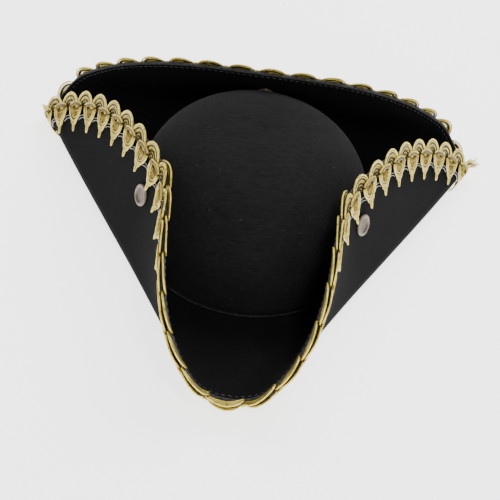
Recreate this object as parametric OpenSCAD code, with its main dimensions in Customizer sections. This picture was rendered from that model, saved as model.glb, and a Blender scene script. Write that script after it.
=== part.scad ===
// Three-cornered felt hat (tricorn): a domed crown, a round felt brim folded up on three sides,
// gimp braid along the brim edge and three snap fasteners that hold the flaps to the crown.
// Millimetres. +Z is up, the front corner points to -Y, and z = 0 is the plane that the hat rests on.
// The origin is the centre of the head opening.

/* [Crown] */
// Half width of the crown, side to side
crown_half_width = 89; // [86:1:90]
// Half length of the crown, front to back
crown_half_length = 95; // [93:1:97]
// Height of the crown above the brim
crown_height = 92; // [91:1:96]
// How square the dome is: 2 is an ellipsoid
crown_fullness = 3; // [2.95:0.05:3.1]

/* [Brim] */
// Radius of the flat disc that the brim is cut from
brim_radius = 195; // [192:1:198]
// How far the disc lies behind the head opening's centre
brim_set_back = 13; // [11:1:14]
// Thickness of the felt
felt_thickness = 2.4; // [2:0.1:2.6]
// How far the front corner curls up
front_rise = 16; // [12:1:20]
// How far the back edge curls up
back_rise = 9; // [6:1:12]

/* [Side flaps] */
// Distance from the centre at which the side folds start
side_fold_start = 92; // [92:0.5:93]
// Length of felt that the side folds take up
side_fold_length = 22; // [20:1:24]
// Fold angle at the middle of a side flap, in degrees
side_fold_angle = 108; // [107:0.5:109]
// Fold angle where a side flap meets the front corner
side_angle_at_front = 34; // [30:1:38]
// Fold angle where a side flap meets a back corner
side_angle_at_back = 118; // [114:1:120]

/* [Back flap] */
// Distance from the centre at which the back fold starts
back_fold_start = 95; // [94.5:0.5:96]
// Length of felt that the back fold takes up
back_fold_length = 46; // [44:1:48]
// Fold angle at the middle of the back flap
back_fold_angle = 129; // [127:0.5:129.5]
// Fold angle where the back flap meets a corner
back_angle_at_corner = 118; // [114:1:120]

/* [Braid] */
// Number of braid repeats round the whole brim
braid_repeats = 50; // [48:2:52]
// Reach of the braid's points in from the felt edge
braid_reach = 21; // [18:1:22]
// How far the braid's arches stand past the felt edge
braid_overhang = 3.5; // [2:0.5:4]
// Thickness of the braid
braid_thickness = 2.2; // [1.6:0.2:2.6]

/* [Snap fasteners] */
// Diameter of the cap that shows on the flap
cap_diameter = 16; // [14:0.5:17]
// Distance of a fastener's centre in from the felt edge
snap_inset = 31; // [30:0.5:33]

/* [Inside] */
// Height of the sweatband
sweatband_height = 32; // [26:1:36]
// Thickness of the sweatband
sweatband_thickness = 1.2; // [1:0.1:1.6]
// Thickness of the crown lining
lining_thickness = 0.8; // [0.6:0.1:1]

/* [Hidden] */

LEFT = 0;
RIGHT = 1;
BACK = 2;
// Direction that each flap's outer face looks, in degrees from the front, positive to the right
flap_heading = [-60, 60, 180];
fold_start = [side_fold_start, side_fold_start, back_fold_start];
fold_length = [side_fold_length, side_fold_length, back_fold_length];
// The fold angle fades from the middle of a flap to its ends along this power of the distance,
// rounded off over this share of the half flap at the middle
fade_power = 1.5;
fade_rounding = 0.15;
// Length of half a flap, where it meets its corner
half_flap = brim_radius * sin(60);

// Each flap swings about a line just outside the crown, this far into its fold
hinge_inset = 4;
hinge_gap = 0.9;
// Half of the angle that a swinging flap covers, and the gap beside it
flap_half_span = 45;
side_gap = 0.5;

// The brim's inner edge is the crown's inner face
opening_half_width = crown_half_width - felt_thickness;
opening_half_length = crown_half_length - felt_thickness;
glue_gap = 0.1;
surface_step = 0.5;

// ---- Shape of the folded brim ----

function heading_vector(angle) = [sin(angle), -cos(angle)];

// Fold angle of flap k at distance s along it, positive towards the back corners
function fold_angle(k, s) =
    let (
        x = min(abs(s) / half_flap, 1.1),
        fade = pow(x * x + fade_rounding * fade_rounding, fade_power / 2) - pow(fade_rounding, fade_power)
    )
    k == BACK ? back_fold_angle + (back_angle_at_corner - back_fold_angle) * fade
    : side_fold_angle + ((s < 0 ? side_angle_at_front : side_angle_at_back) - side_fold_angle) * fade;

// Shift that fold k gives a point of the flat disc: outwards along the flap's heading, and up
function fold_shift(k, u, s) =
    let (
        over = u - fold_start[k],
        angle = fold_angle(k, s),
        bent = min(over, fold_length[k]),
        turned = angle * bent / fold_length[k],
        bend_radius = fold_length[k] * 180 / PI / angle,
        straight = max(over - fold_length[k], 0)
    )
    over <= 0 ? [0, 0]
    : [bend_radius * sin(turned) + straight * cos(angle) - over,
       bend_radius * (1 - cos(turned)) + straight * sin(angle)];

// Distance along flap k of a point p of the flat disc, positive towards the back corners
function along_flap(k, p) =
    let (h = heading_vector(flap_heading[k]))
    (k == LEFT ? -1 : 1) * (h[0] * p[1] - h[1] * p[0]);

// The whole brim also curls up a little outside the head opening
curl_start = 100;
curl_reach = 100;
function curl(p) =
    let (
        r = norm(p),
        out = max(r - curl_start, 0) / curl_reach,
        forward = -p[1] / max(r, 1)
    )
    out * out * (front_rise * pow(max(forward, 0), 1.5) + back_rise * max(-forward, 0));

// Middle of the felt for a point p of the flat disc
function felt_middle(p) =
    let (
        shifts = [for (k = [LEFT, RIGHT, BACK])
            let (
                h = heading_vector(flap_heading[k]),
                f = fold_shift(k, h * p, along_flap(k, p))
            )
            [h[0] * f[0], h[1] * f[0], f[1]]]
    )
    [p[0], p[1], felt_thickness / 2 + curl(p)] + shifts[LEFT] + shifts[RIGHT] + shifts[BACK];

// Direction square to the felt, upwards where the brim is flat
function felt_normal(p) =
    let (
        dx = [surface_step, 0],
        dy = [0, surface_step],
        n = cross(felt_middle(p + dx) - felt_middle(p - dx), felt_middle(p + dy) - felt_middle(p - dy))
    )
    n / norm(n);

// A point at height h above the middle of the felt
function felt_point(p, h) = felt_middle(p) + h * felt_normal(p);

// ---- Outlines on the flat disc, as distances from the origin along a heading ----

function opening_reach(angle) =
    1 / norm([sin(angle) / opening_half_width, cos(angle) / opening_half_length]);

function edge_reach(angle, extra = 0) =
    let (
        along = -brim_set_back * cos(angle),
        r = brim_radius + extra
    )
    along + sqrt(along * along + r * r - brim_set_back * brim_set_back);

function hinge_distance(k) = fold_start[k] + hinge_inset;

// ---- Closed sheet of material that lies along the folded felt ----

// columns is a list of columns, each a list of points of the flat disc, from the inside out.
// The sheet fills the cells between neighbouring columns, and beyond row_limit only those that
// filled_beyond names by their first column.
module sheet(columns, low, high, closed_ring = false, row_limit = 1000, filled_beyond = []) {
    rows = len(columns[0]);
    count = len(columns);
    layer = count * rows;
    points = [for (side = [low, high], column = columns, p = column) felt_point(p, side)];
    beyond = [for (i = [0 : count - 1]) len([for (c = filled_beyond) if (c == i) c]) > 0];
    function at(side, i, j) = side * layer + (i % count) * rows + j;
    function column_exists(i) = closed_ring || (i >= 0 && i < count - 1);
    function filled(i, j) =
        column_exists(i) && j >= 0 && j < rows - 1 && (j < row_limit || beyond[(i + count) % count]);
    function wall(i0, j0, i1, j1) = [
        [at(0, i0, j0), at(0, i1, j1), at(1, i1, j1)],
        [at(0, i0, j0), at(1, i1, j1), at(1, i0, j0)]];
    faces = [
        for (i = [0 : closed_ring ? count - 1 : count - 2], j = [0 : rows - 2]) if (filled(i, j)) each concat(
            [[at(1, i, j), at(1, i + 1, j), at(1, i + 1, j + 1)],
             [at(1, i, j), at(1, i + 1, j + 1), at(1, i, j + 1)],
             [at(0, i, j), at(0, i + 1, j + 1), at(0, i + 1, j)],
             [at(0, i, j), at(0, i, j + 1), at(0, i + 1, j + 1)]],
            filled(i, j - 1) ? [] : wall(i, j, i + 1, j),
            filled(i, j + 1) ? [] : wall(i + 1, j + 1, i, j + 1),
            filled(i - 1, j) ? [] : wall(i, j + 1, i, j),
            filled(i + 1, j) ? [] : wall(i + 1, j, i + 1, j + 1))
    ];
    polyhedron(points = points, faces = faces);
}

// Points along a heading from the head opening's centre, at steps between two distances
function heading_points(angle, from, to, steps) =
    [for (t = steps) heading_vector(angle) * (from + (to - from) * t)];

// ---- Felt ----

module felt_colour() { color([0.09, 0.09, 0.1]) children(); }

// The brim rests on a flat ring round the opening
flat_ring_width = 3.2;
// Steps from that ring out to the hinge lines, and from there to the edge
ring_steps = [0, 0.3, 0.65, 1];
lobe_steps = [0.07, 0.15, 0.25, 0.37, 0.5, 0.64, 0.76, 0.88, 1];
columns_per_flap = 36;
columns_per_corner = 20;
corner_span = 120 - 2 * flap_half_span;

// Distance of the fixed brim's ring edge at angle d past the middle of flap k
function ring_reach(k, d) =
    let (next = k == LEFT ? RIGHT : k == RIGHT ? BACK : LEFT)
    d <= flap_half_span ? (hinge_distance(k) - hinge_gap) / cos(d)
    : let (
        t = (d - flap_half_span) / corner_span,
        here = hinge_distance(k) * (1 - t) + hinge_distance(next) * t
    )
    (here - hinge_gap) / cos(flap_half_span);

// The ring lies inside the hinge lines, and the three corners run from it out to the brim's edge
module brim_base() {
    angles = concat(
        [for (i = [0 : columns_per_flap - 1]) flap_half_span * (2 * i / columns_per_flap - 1)],
        [for (i = [0 : columns_per_corner - 1]) flap_half_span + corner_span * i / columns_per_corner]);
    columns = [for (k = [RIGHT, BACK, LEFT], d = angles)
        let (
            heading = (flap_heading[k] + 360) % 360 + d,
            reach = ring_reach(k, d)
        )
        concat([heading_vector(heading) * opening_reach(heading)],
               heading_points(heading, opening_reach(heading) + flat_ring_width, reach, ring_steps),
               heading_points(heading, reach, edge_reach(heading), lobe_steps))];
    corner_columns = [for (k = [1 : 3], i = [1 : columns_per_corner]) k * len(angles) - i];
    felt_colour()
        sheet(columns, -felt_thickness / 2, felt_thickness / 2, closed_ring = true,
              row_limit = len(ring_steps), filled_beyond = corner_columns);
}

flap_steps = [0, 0.04, 0.08, 0.13, 0.18, 0.24, 0.3, 0.38, 0.48, 0.62, 0.8, 1];

// A flap swings as one piece, from its hinge line out to the brim's edge
module flap(k) {
    span = flap_half_span - side_gap;
    columns = [for (i = [0 : columns_per_flap])
        let (d = span * (2 * i / columns_per_flap - 1), heading = flap_heading[k] + d)
        heading_points(heading, (hinge_distance(k) + hinge_gap) / cos(d), edge_reach(heading), flap_steps)];
    felt_colour() difference() {
        sheet(columns, -felt_thickness / 2, felt_thickness / 2);
        on_snap_axis(k) cylinder(h = 12, d = shank_diameter + 2 * shank_clearance, center = true, $fn = 32);
    }
}

// ---- Crown ----

crown_columns = 48;
crown_rows = 12;

// Point of a dome with the crown's shape; turn goes round, climb goes from 0 at the rim to 90 at the top
function dome_point(turn, climb, w, l, h, foot) =
    let (
        level = h * pow(sin(climb), 2 / crown_fullness),
        z = max(level, foot),
        q = pow(max(1 - pow(z / h, crown_fullness), 0), 1 / crown_fullness)
    )
    [w * q * sin(turn), -l * q * cos(turn), z];

// A dome's rows, from the rim up, with the top left out
function dome_rows(w, l, h, foot, base_z) = [
    for (j = [0 : crown_rows - 1])
        for (i = [0 : crown_columns - 1])
            let (p = dome_point(360 * i / crown_columns, j == 0 ? 0 : 12 + 74 * j / (crown_rows - 1), w, l, h, foot))
            [p[0], p[1], p[2] + base_z]
];

// Open shell between two domes that stand on the same level
module dome_shell(w, l, h, wall, foot, base_z) {
    layer = crown_columns * crown_rows;
    function at(side, i, j) = side * (layer + 1) + (i % crown_columns) + j * crown_columns;
    outer = dome_rows(w, l, h, foot, base_z);
    inner = dome_rows(w - wall, l - wall, h - wall, foot, base_z);
    points = concat(outer, [[0, 0, h + base_z]], inner, [[0, 0, h - wall + base_z]]);
    top = crown_rows - 1;
    faces = concat(
        [for (i = [0 : crown_columns - 1], j = [0 : top - 1]) each [
            [at(0, i, j), at(0, i, j + 1), at(0, i + 1, j + 1)],
            [at(0, i, j), at(0, i + 1, j + 1), at(0, i + 1, j)],
            [at(1, i, j), at(1, i + 1, j + 1), at(1, i, j + 1)],
            [at(1, i, j), at(1, i + 1, j), at(1, i + 1, j + 1)]]],
        [for (i = [0 : crown_columns - 1]) each [
            [at(0, i, top), layer, at(0, i + 1, top)],
            [at(1, i, top), at(1, i + 1, top), 2 * layer + 1],
            [at(0, i, 0), at(0, i + 1, 0), at(1, i + 1, 0)],
            [at(0, i, 0), at(1, i + 1, 0), at(1, i, 0)]]]
    );
    polyhedron(points = points, faces = faces);
}

crown_foot = felt_thickness + glue_gap;

module crown_shell() {
    felt_colour() difference() {
        dome_shell(crown_half_width, crown_half_length, crown_height, felt_thickness, 0, crown_foot);
        for (k = [LEFT, RIGHT, BACK])
            on_snap_axis(k)
                translate([0, 0, -30]) cylinder(h = 30, d = shank_diameter + 2 * shank_clearance, $fn = 32);
    }
}

lining_gap = 1.2;
lining_foot = sweatband_height + 1.5;
post_relief = 9;

module crown_lining() {
    inset = felt_thickness + lining_gap;
    color([0.12, 0.11, 0.12]) difference() {
        dome_shell(crown_half_width - inset, crown_half_length - inset, crown_height - inset,
                   lining_thickness, lining_foot, crown_foot);
        for (k = [LEFT, RIGHT, BACK])
            on_snap_axis(k) translate([0, 0, -30]) cylinder(h = 28, r = post_relief, $fn = 32);
    }
}

// Elliptical ring with a wall, standing between two levels; taper draws its top in
module oval_ring(w, l, wall, low, high, taper = 0) {
    count = 72;
    points = [
        for (level = [low, high], inset = [0, wall])
            for (i = [0 : count - 1])
                let (drawn_in = inset + (level == high ? taper : 0))
                [(w - drawn_in) * sin(360 * i / count), -(l - drawn_in) * cos(360 * i / count), level]
    ];
    function at(ring, i) = ring * count + i % count;
    rings = [[0, 2], [2, 3], [3, 1], [1, 0]];
    faces = [for (r = rings, i = [0 : count - 1]) each [
        [at(r[0], i), at(r[1], i), at(r[1], i + 1)],
        [at(r[0], i), at(r[1], i + 1), at(r[0], i + 1)]]];
    polyhedron(points = points, faces = faces);
}

band_gap = 0.9;
band_foot = 1;
// The crown leans in this much over the height of the band
band_taper = 1.6;

module sweatband() {
    color([0.16, 0.14, 0.13])
        oval_ring(opening_half_width - band_gap, opening_half_length - band_gap,
                  sweatband_thickness, band_foot, band_foot + sweatband_height, band_taper);
}

welt_size = 1.6;
// The back fold starts under the welt, so it stands this far up
welt_foot = crown_foot + 0.2;

module crown_welt() {
    color([0.07, 0.07, 0.08])
        oval_ring(crown_half_width + 0.2 + welt_size, crown_half_length + 0.2 + welt_size,
                  welt_size, welt_foot, welt_foot + welt_size);
}

// ---- Braid ----

braid_columns_per_repeat = 4;
braid_steps = [0, 0.25, 0.5, 0.75, 1];
repeat_angle = 360 / braid_repeats;
braid_clearance = 0.6;

// Angle about the disc's own centre of the point where a heading from the origin meets the edge
function disc_angle(heading) =
    let (p = heading_vector(heading) * edge_reach(heading) - [0, brim_set_back])
    atan2(p[0], -p[1]) + (heading > 180 ? 360 : 0);

// One run of braid on the outer face of the felt, between two headings
module braid_run(from_heading, to_heading) {
    from = disc_angle(from_heading);
    to = disc_angle(to_heading);
    count = round((to - from) / repeat_angle * braid_columns_per_repeat);
    centre = [0, brim_set_back];
    columns = [for (i = [0 : count])
        let (
            angle = from + (to - from) * i / count,
            wave = abs(sin(180 * angle / repeat_angle)),
            inner = brim_radius - braid_reach * (1 - 0.28 * wave),
            outer = brim_radius + braid_overhang * (0.3 + 0.7 * wave)
        )
        [for (t = braid_steps) centre + heading_vector(angle) * (inner + (outer - inner) * t)]];
    face = -felt_thickness / 2 - braid_clearance;
    color([0.72, 0.6, 0.2]) sheet(columns, face - braid_thickness, face);
}

// Runs end this far, in degrees, from the gap between a flap and a corner
braid_end_gap = 0.6;
flap_run_half = flap_half_span - side_gap - braid_end_gap;
corner_run_half = corner_span / 2 - braid_end_gap;

// ---- Snap fasteners ----

shank_diameter = 4;
shank_clearance = 0.1;
cap_height = 2;
// The cap's rim stands this far off the felt, which is hollow along the flap
cap_lift = 0.5;
socket_diameter = 12;
socket_height = 2;
stud_ball = 6;
ball_clearance = 0.3;
stud_flange_diameter = 11;
stud_flange_height = 0.8;
post_diameter = 12;
// Room for the crown's slope under the stud's flange and the post's disc
stud_gap = 0.4;
post_gap = 1.6;

function snap_disc_point(k) = heading_vector(flap_heading[k]) * (edge_reach(flap_heading[k]) - snap_inset);
function snap_axis(k) = -felt_normal(snap_disc_point(k));

// Places its children with z = 0 at the middle of the flap's felt and +Z square out of its outer face
module on_snap_axis(k) {
    n = snap_axis(k);
    translate(felt_middle(snap_disc_point(k)))
        rotate([0, 0, atan2(n[1], n[0])])
            rotate([0, acos(n[2]), 0])
                children();
}

// How far along the snap axis, inwards, the crown's outer face lies
function crown_depth(k, near = 0, far = 20, steps = 24) =
    let (
        mid = (near + far) / 2,
        p = felt_middle(snap_disc_point(k)) - mid * snap_axis(k),
        q = norm([p[0] / crown_half_width, p[1] / crown_half_length]),
        inside = pow(q, crown_fullness) + pow(abs(p[2] - crown_foot) / crown_height, crown_fullness) < 1
    )
    steps == 0 ? mid
    : inside ? crown_depth(k, near, mid, steps - 1) : crown_depth(k, mid, far, steps - 1);

module brass() { color([0.55, 0.5, 0.43]) children(); }

// Cap with a raised rim and a dished face, and its shank through the felt
module cap(k) {
    r = cap_diameter / 2;
    brass() on_snap_axis(k) translate([0, 0, felt_thickness / 2 + cap_lift]) rotate_extrude($fn = 64) polygon([
        [0, -felt_thickness - socket_height * 0.5],
        [shank_diameter / 2, -felt_thickness - socket_height * 0.5],
        [shank_diameter / 2, 0],
        [r * 0.94, 0],
        [r, cap_height * 0.3],
        [r, cap_height * 0.7],
        [r * 0.93, cap_height],
        [r * 0.8, cap_height],
        [r * 0.7, cap_height * 0.55],
        [r * 0.35, cap_height * 0.32],
        [0, cap_height * 0.28]
    ]);
}

// Ring on the flap's inner face that takes the stud's ball
module socket(k) {
    r = socket_diameter / 2;
    brass() on_snap_axis(k) translate([0, 0, -felt_thickness / 2 - glue_gap]) rotate_extrude($fn = 64) polygon([
        [shank_diameter / 2 + shank_clearance, 0],
        [r, 0],
        [r, -socket_height * 0.4],
        [r * 0.85, -socket_height],
        [stud_ball / 2 + ball_clearance, -socket_height],
        [stud_ball / 2 + ball_clearance, -socket_height * 0.45],
        [shank_diameter / 2 + shank_clearance, -socket_height * 0.45]
    ]);
}

// Ball-headed stud on the crown's outer face
module stud(k) {
    crown_face = crown_depth(k);
    socket_face = felt_thickness / 2 + glue_gap + socket_height;
    brass() on_snap_axis(k) rotate_extrude($fn = 64) polygon([
        [shank_diameter / 2 + shank_clearance, -crown_face + stud_gap],
        [stud_flange_diameter / 2, -crown_face + stud_gap],
        [stud_flange_diameter / 2, -crown_face + stud_gap + stud_flange_height],
        [stud_ball / 2 - 0.3, -crown_face + stud_gap + stud_flange_height],
        [stud_ball / 2, -socket_face + 0.5],
        [stud_ball / 2 - 0.4, -socket_face + 0.95],
        [shank_diameter / 2 + shank_clearance, -socket_face + 0.95]
    ]);
}

// Post inside the crown, whose shank goes through the felt into the stud
module post(k) {
    crown_face = crown_depth(k);
    back = crown_face + felt_thickness + post_gap;
    r = post_diameter / 2;
    brass() on_snap_axis(k) rotate_extrude($fn = 64) polygon([
        [0, -back - 1.2],
        [r * 0.9, -back - 1.2],
        [r, -back - 0.9],
        [r, -back],
        [shank_diameter / 2, -back],
        [shank_diameter / 2, -crown_face + 1.2],
        [0, -crown_face + 1.2]
    ]);
}

crown_shell();
crown_lining();
crown_welt();
sweatband();
brim_base();
flap(LEFT);  // left_flap
flap(RIGHT);  // right_flap
flap(BACK);  // back_flap
braid_run(-corner_run_half, corner_run_half);  // braid_front
braid_run(-120 - corner_run_half, -120 + corner_run_half);  // braid_left_corner
braid_run(120 - corner_run_half, 120 + corner_run_half);  // braid_right_corner
braid_run(-60 - flap_run_half, -60 + flap_run_half);  // braid_left
braid_run(60 - flap_run_half, 60 + flap_run_half);  // braid_right
braid_run(180 - flap_run_half, 180 + flap_run_half);  // braid_back
cap(LEFT);  // left_cap
cap(RIGHT);  // right_cap
cap(BACK);  // back_cap
socket(LEFT);  // left_socket
socket(RIGHT);  // right_socket
socket(BACK);  // back_socket
stud(LEFT);  // left_stud
stud(RIGHT);  // right_stud
stud(BACK);  // back_stud
post(LEFT);  // left_post
post(RIGHT);  // right_post
post(BACK);  // back_post
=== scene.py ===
# %% [markdown]
# # A three-cornered felt hat
#
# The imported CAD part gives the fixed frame: which bodies there are, where they are and how they swing.
# This script builds what the hat looks like around it: felt, braid, threads, snap caps, lining and light.
# The first cell loads the frame, keeps its size, and sets up the camera.

import bpy
import numpy as np
from mathutils import Matrix, Vector


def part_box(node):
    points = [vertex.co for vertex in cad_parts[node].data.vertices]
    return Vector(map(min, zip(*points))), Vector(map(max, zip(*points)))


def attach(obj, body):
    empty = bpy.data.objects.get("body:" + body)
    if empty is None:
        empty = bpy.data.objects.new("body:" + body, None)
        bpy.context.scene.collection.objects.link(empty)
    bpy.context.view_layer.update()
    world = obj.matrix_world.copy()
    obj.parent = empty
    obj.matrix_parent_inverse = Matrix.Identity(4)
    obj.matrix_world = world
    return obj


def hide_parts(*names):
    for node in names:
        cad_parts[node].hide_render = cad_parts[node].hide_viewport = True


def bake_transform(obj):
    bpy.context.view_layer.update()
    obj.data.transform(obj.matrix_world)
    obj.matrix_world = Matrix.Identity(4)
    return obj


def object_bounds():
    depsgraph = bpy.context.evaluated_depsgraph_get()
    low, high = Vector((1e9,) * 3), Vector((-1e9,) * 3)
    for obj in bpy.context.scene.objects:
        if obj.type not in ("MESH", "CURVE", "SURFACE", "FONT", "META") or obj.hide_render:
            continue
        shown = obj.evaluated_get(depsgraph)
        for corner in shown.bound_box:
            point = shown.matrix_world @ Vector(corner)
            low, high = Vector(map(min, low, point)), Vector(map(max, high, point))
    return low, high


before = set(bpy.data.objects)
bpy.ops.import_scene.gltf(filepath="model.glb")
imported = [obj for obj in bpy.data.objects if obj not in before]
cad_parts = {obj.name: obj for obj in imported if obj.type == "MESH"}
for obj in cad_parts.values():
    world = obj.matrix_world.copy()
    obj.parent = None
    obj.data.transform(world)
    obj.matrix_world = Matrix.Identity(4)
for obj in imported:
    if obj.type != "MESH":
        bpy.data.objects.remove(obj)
size_at_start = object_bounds()
MM = 0.001

CAMERA_DISTANCE = 0.950
CAMERA_AZIMUTH = -1.8
CAMERA_ELEVATION = 42.5
CAMERA_TILT = 8.9
CAMERA_AIM = Vector((0.0042, -0.0112, -0.0120))
CAMERA_LENS = 88.6


def place_camera():
    """A long lens above the front of the hat, leaning a little to one side."""
    azimuth, elevation, tilt = np.radians([CAMERA_AZIMUTH, CAMERA_ELEVATION, CAMERA_TILT])
    level = np.cos(elevation)
    back = Vector((np.sin(azimuth) * level, -np.cos(azimuth) * level, np.sin(elevation)))
    level_right = Vector((np.cos(azimuth), np.sin(azimuth), 0))
    level_up = back.cross(level_right)
    up = level_up * np.cos(tilt) - level_right * np.sin(tilt)
    camera = bpy.data.objects.new("camera", bpy.data.cameras.new("camera"))
    bpy.context.scene.collection.objects.link(camera)
    position = back * CAMERA_DISTANCE
    back = (position - CAMERA_AIM).normalized()
    right = up.cross(back).normalized()
    up = back.cross(right)
    camera.matrix_world = Matrix.Translation(position) @ Matrix((right, up, back)).transposed().to_4x4()
    camera.data.lens = CAMERA_LENS
    camera.data.clip_start = 0.05
    camera.data.clip_end = 20
    bpy.context.scene.camera = camera
    return camera


place_camera()
print("frame size", [round(x, 4) for x in size_at_start[1] - size_at_start[0]])

# %% [markdown]
# ## Driving sizes
#
# All lengths are millimetres and all angles degrees, as in the CAD part. Places could be typed in by eye, but
# then a change in the CAD part would leave the looks behind, so the crown's size is read from the frame. The
# brim is a flat disc of felt, folded up along three straight lines, so it also needs the fold's own sizes.

# %% Driving sizes
crown_low, crown_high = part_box("crown_shell")
CROWN_HALF_WIDTH = (crown_high.x - crown_low.x) / 2 / MM
CROWN_HALF_LENGTH = (crown_high.y - crown_low.y) / 2 / MM
CROWN_FOOT = crown_low.z / MM
CROWN_HEIGHT = (crown_high.z - crown_low.z) / MM
CROWN_FULLNESS = 3.0

FELT = 2.4
BRIM_RADIUS = 195
BRIM_CENTRE = np.array([0.0, 13.0])
FRONT_RISE = 16
BACK_RISE = 9
CURL_START = 100
CURL_REACH = 100

FLAP_HEADING = {"left": -60, "right": 60, "back": 180}
FOLD_START = {"left": 92, "right": 92, "back": 95}
FOLD_LENGTH = {"left": 22, "right": 22, "back": 46}
ANGLE_AT_MIDDLE = {"left": 108, "right": 108, "back": 129}
ANGLE_AT_NEAR_END = {"left": 34, "right": 34, "back": 118}
ANGLE_AT_FAR_END = 118
HALF_FLAP = BRIM_RADIUS * np.sin(np.radians(60))
FADE_POWER = 1.5
FADE_ROUNDING = 0.15
HINGE_INSET = 4

BRAID_REPEATS = 50
REPEAT = 360 / BRAID_REPEATS
FIRST_REPEAT = 0.9
SNAP_INSET = 31

random = np.random.default_rng(11)

# %% [markdown]
# ## The folded brim as a formula
#
# The real brim is one disc of felt with its sides folded up along three straight lines. It could be
# sculpted, or draped by a cloth simulation, but this felt is stiff and keeps a pressed shape. A formula
# gives that shape for any point of the flat disc, so felt, braid, stitches and caps all meet on the same
# surface. Each fold shifts a point outwards and up: past the fold's start the point first goes round the
# bend and then straight on.

# %% The folded brim as a formula


def unit(vectors):
    """The same directions with length 1."""
    return vectors / np.maximum(np.linalg.norm(vectors, axis=-1, keepdims=True), 1e-9)


def heading_vector(degrees):
    """Flat direction for a heading: 0 is the front, and it grows to the right."""
    turn = np.radians(degrees)
    return np.stack([np.sin(turn), -np.cos(turn)], -1)


def along_vector(flap):
    """Flat direction along a flap, towards its far end."""
    x, y = heading_vector(FLAP_HEADING[flap])
    sign = -1 if flap == "left" else 1
    return sign * np.array([-y, x])


def fold_angle(flap, along):
    """The fold's angle, which fades from the flap's middle to its ends."""
    share = np.minimum(np.abs(along) / HALF_FLAP, 1.1)
    fade = (share ** 2 + FADE_ROUNDING ** 2) ** (FADE_POWER / 2) - FADE_ROUNDING ** FADE_POWER
    end = np.where(along < 0, ANGLE_AT_NEAR_END[flap], ANGLE_AT_FAR_END)
    return np.radians(ANGLE_AT_MIDDLE[flap] + (end - ANGLE_AT_MIDDLE[flap]) * fade)


def fold_shift(flap, points):
    """The shift that one fold gives each point of the flat disc."""
    heading = heading_vector(FLAP_HEADING[flap])
    over = np.maximum(points @ heading - FOLD_START[flap], 0)
    angle = fold_angle(flap, points @ along_vector(flap))
    bent = np.minimum(over, FOLD_LENGTH[flap])
    turned = angle * bent / FOLD_LENGTH[flap]
    bend_radius = FOLD_LENGTH[flap] / angle
    straight = np.maximum(over - FOLD_LENGTH[flap], 0)
    outwards = bend_radius * np.sin(turned) + straight * np.cos(angle) - over
    up = bend_radius * (1 - np.cos(turned)) + straight * np.sin(angle)
    return np.concatenate([outwards[..., None] * heading, up[..., None]], -1)


def curl(points):
    """The brim's slight rise at the front and back."""
    reach = np.linalg.norm(points, axis=-1)
    out = np.maximum(reach - CURL_START, 0) / CURL_REACH
    forward = -points[..., 1] / np.maximum(reach, 1)
    return out ** 2 * (FRONT_RISE * np.maximum(forward, 0) ** 1.5 + BACK_RISE * np.maximum(-forward, 0))


def felt_middle(points):
    """Middle of the felt for points of the flat disc."""
    flat = np.concatenate([points, (FELT / 2 + curl(points))[..., None]], -1)
    return flat + sum(fold_shift(flap, points) for flap in FLAP_HEADING)


def slope(points, direction):
    """How the felt runs as its flat point moves in one direction."""
    step = 0.25 * direction
    return (felt_middle(points + step) - felt_middle(points - step)) / 0.5


def felt_normal(points):
    """Direction square to the felt, upwards where the brim is flat."""
    return unit(np.cross(slope(points, np.array([1.0, 0.0])), slope(points, np.array([0.0, 1.0]))))


def edge_reach(heading, extra=0.0):
    """Distance from the head opening's centre to the brim's edge."""
    along = -BRIM_CENTRE[1] * np.cos(np.radians(heading))
    return along + np.sqrt(along ** 2 + (BRIM_RADIUS + extra) ** 2 - BRIM_CENTRE[1] ** 2)


def disc_point(angle, outward):
    """Point of the flat disc at an angle about the disc's own centre, this far past its edge."""
    return BRIM_CENTRE + heading_vector(angle) * (BRIM_RADIUS + np.asarray(outward))[..., None]


def on_outer_face(angle, outward, height):
    """Point above the felt's outer face, and the direction square to it."""
    flat = disc_point(angle, outward)
    up = -felt_normal(flat)
    return felt_middle(flat) + up * (FELT / 2 + np.asarray(height))[..., None], up


print("back edge height", felt_middle(disc_point(np.array([180.0]), np.array([0.0]))).round(1))

# %% [markdown]
# ## Making meshes
#
# Three shapes come back all over the hat: sheets, turned metal pieces and round cords. Modifiers could
# thicken and bend them, but arrays of points let one call make thousands of cord turns in a moment. A face
# gets the reflection direction of its corners where the formula knows it, so that neighbouring pieces show
# no seam.

# %% Mesh tools


def make_object(name, points, faces, looks, uvs=None, normals=None, tones=None, look_of_face=None):
    """An object from points in millimetres. faces is a list of arrays, each with faces of one size."""
    mesh = bpy.data.meshes.new(name)
    mesh.from_pydata((points * MM).tolist(), [], [face for group in faces for face in group.tolist()])
    for look in looks:
        mesh.materials.append(look)
    mesh.shade_smooth()
    if look_of_face is not None:
        mesh.polygons.foreach_set("material_index", look_of_face.astype(np.int32))
    if uvs is not None:
        layer = mesh.uv_layers.new(name="cloth")
        layer.data.foreach_set("uv", uvs.astype(np.float32).ravel())
    if tones is not None:
        mesh.attributes.new("tone", "FLOAT", "POINT").data.foreach_set("value", tones.astype(np.float32))
    if normals is not None:
        mesh.normals_split_custom_set(normals.reshape(-1, 3).tolist())
    made = bpy.data.objects.new(name, mesh)
    bpy.context.scene.collection.objects.link(made)
    return made


def grid_quads(index):
    """Quads of a 2D grid of point numbers."""
    return np.stack([index[:-1, :-1], index[1:, :-1], index[1:, 1:], index[:-1, 1:]], -1).reshape(-1, 4)


def wrapped(index, axis):
    """The grid with its first row or column again at the end, to close it."""
    return np.concatenate([index, np.take(index, [0], axis)], axis)


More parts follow.
